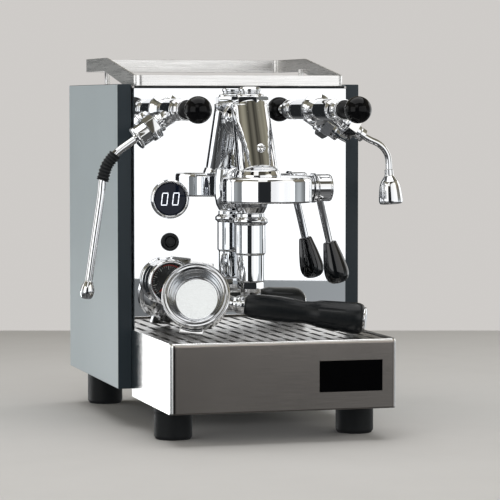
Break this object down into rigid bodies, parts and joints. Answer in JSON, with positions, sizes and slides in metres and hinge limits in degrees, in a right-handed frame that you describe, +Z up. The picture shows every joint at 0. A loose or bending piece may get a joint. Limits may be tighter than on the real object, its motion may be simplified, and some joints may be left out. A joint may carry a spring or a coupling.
{
  "type": "espresso machine",
  "caption": "Box-shaped espresso machine with a lever-operated brew group, joystick steam and water valves with wands, round display, gauge, drip tray, cup rail and portafilter.",
  "frame": {"origin": "centre of the bounding box in X and Y, on the worktop plane", "axes": "+Z up, -Y the front of the machine, +X the side with the brew lever and the hot-water wand"},
  "size_m": [0.3473, 0.4228, 0.3908],
  "materials": {
    "chrome": "polished chrome plating",
    "mirror_steel": "mirror-polished stainless steel sheet",
    "brushed_steel": "brushed stainless steel, grain along the length",
    "grey_paint": "satin blue-grey powder coat",
    "dark_steel": "dark powder-coated steel",
    "black_gloss": "polished black phenolic",
    "black_satin": "satin black moulded plastic",
    "rubber": "black rubber",
    "nylon": "black nylon, slightly glossy",
    "display_glass": "smoked blue-black window",
    "clear_glass": "clear gauge glass",
    "dial_black": "printed black dial",
    "needle_red": "red paint",
    "copper": "drawn copper",
    "brass": "cast brass",
    "tank_plastic": "translucent moulded plastic"
  },
  "bodies": {
    "machine": {"group_head": "chrome", "group_top_nut": "chrome", "group_cup_screw": "chrome", "preinfusion_chamber": "chrome", "drain_nozzle": "chrome", "lever_bushing": "chrome", "steam_valve_body": "chrome", "steam_outlet_nut": "chrome", "water_valve_body": "chrome", "water_outlet_nut": "chrome", "display_bezel": "chrome", "gauge_case": "chrome", "front_panel": "mirror_steel", "back_panel": "brushed_steel", "top_cover": "brushed_steel", "cup_rail": "brushed_steel", "tray_housing": "brushed_steel", "tray_front": "brushed_steel", "shower_screen": "brushed_steel", "left_side_panel": "grey_paint", "right_side_panel": "grey_paint", "base_plate": "dark_steel", "badge_plate": "black_gloss", "button_ring": "black_satin", "power_inlet": "black_satin", "foot_front_left": "rubber", "foot_front_right": "rubber", "foot_rear_left": "rubber", "foot_rear_right": "rubber", "group_gasket": "rubber", "steam_valve_socket": "nylon", "water_valve_socket": "nylon", "display_window": "display_glass", "gauge_glass": "clear_glass", "gauge_dial": "dial_black", "boiler": "copper", "pump": "brass"},
    "brew_lever": {"lever_arm": "chrome", "lever_knob": "black_gloss"},
    "steam_lever": {"steam_lever_stem": "chrome", "steam_ball_knob": "black_gloss"},
    "water_lever": {"water_lever_stem": "chrome", "water_ball_knob": "black_gloss"},
    "steam_wand": {"steam_wand": "chrome", "steam_wand_grip": "rubber", "steam_wand_tip": "chrome"},
    "water_wand": {"water_wand": "chrome", "water_nozzle": "chrome"},
    "power_button": {"button_cap": "black_satin"},
    "gauge_needle": {"gauge_needle": "needle_red"},
    "water_tank": {"water_tank": "tank_plastic"},
    "tank_lid": {"tank_lid": "brushed_steel"},
    "drip_pan": {"drip_pan": "brushed_steel"},
    "drip_grid": {"drip_grid": "brushed_steel"},
    "portafilter": {"portafilter_body": "chrome", "filter_basket": "brushed_steel", "double_spout": "chrome", "portafilter_handle": "black_satin", "handle_end_cap": "chrome"}
  },
  "joints": [
    {"name": "brew_lever_lift", "type": "hinge", "parent": "machine", "child": "brew_lever", "pos_m": [0.0845, -0.088, 0.2525], "axis": [-1, 0, 0], "range_deg": [0, 90]},
    {"name": "steam_lever_tilt", "type": "hinge", "parent": "machine", "child": "steam_lever", "pos_m": [-0.076, -0.142, 0.3343], "axis": [1, 0, 0], "range_deg": [-15, 15], "stiffness_Nm_per_rad": 2},
    {"name": "water_lever_tilt", "type": "hinge", "parent": "machine", "child": "water_lever", "pos_m": [0.091, -0.142, 0.3343], "axis": [1, 0, 0], "range_deg": [-15, 15], "stiffness_Nm_per_rad": 2},
    {"name": "steam_wand_swivel", "type": "hinge", "parent": "machine", "child": "steam_wand", "pos_m": [-0.10519, -0.088, 0.31218], "axis": [-0.8339, 0, -0.5519], "range_deg": [-60, 60]},
    {"name": "water_wand_swivel", "type": "hinge", "parent": "machine", "child": "water_wand", "pos_m": [0.12019, -0.088, 0.31218], "axis": [0.8339, 0, -0.5519], "range_deg": [-60, 60]},
    {"name": "power_button_press", "type": "slide", "parent": "machine", "child": "power_button", "axis": [0, 1, 0], "range_m": [0, 0.0025], "stiffness_N_per_m": 300},
    {"name": "gauge_needle_turn", "type": "hinge", "parent": "machine", "child": "gauge_needle", "pos_m": [-0.0741, -0.0548, 0.154], "axis": [0, 1, 0], "range_deg": [0, 270], "stiffness_Nm_per_rad": 0.002},
    {"name": "water_tank_lift", "type": "slide", "parent": "machine", "child": "water_tank", "axis": [0, 0, 1], "range_m": [0, 0.2]},
    {"name": "tank_lid_lift", "type": "slide", "parent": "water_tank", "child": "tank_lid", "axis": [0, 0, 1], "range_m": [0, 0.06]},
    {"name": "drip_pan_lift", "type": "slide", "parent": "machine", "child": "drip_pan", "axis": [0, 0, 1], "range_m": [0, 0.014]},
    {"name": "drip_grid_lift", "type": "slide", "parent": "drip_pan", "child": "drip_grid", "axis": [0, 0, 1], "range_m": [0, 0.012]},
    {"name": "portafilter_lift", "type": "slide", "parent": "drip_grid", "child": "portafilter", "axis": [0, -0.8, 0.6], "range_m": [0, 0.15]}
  ]
}
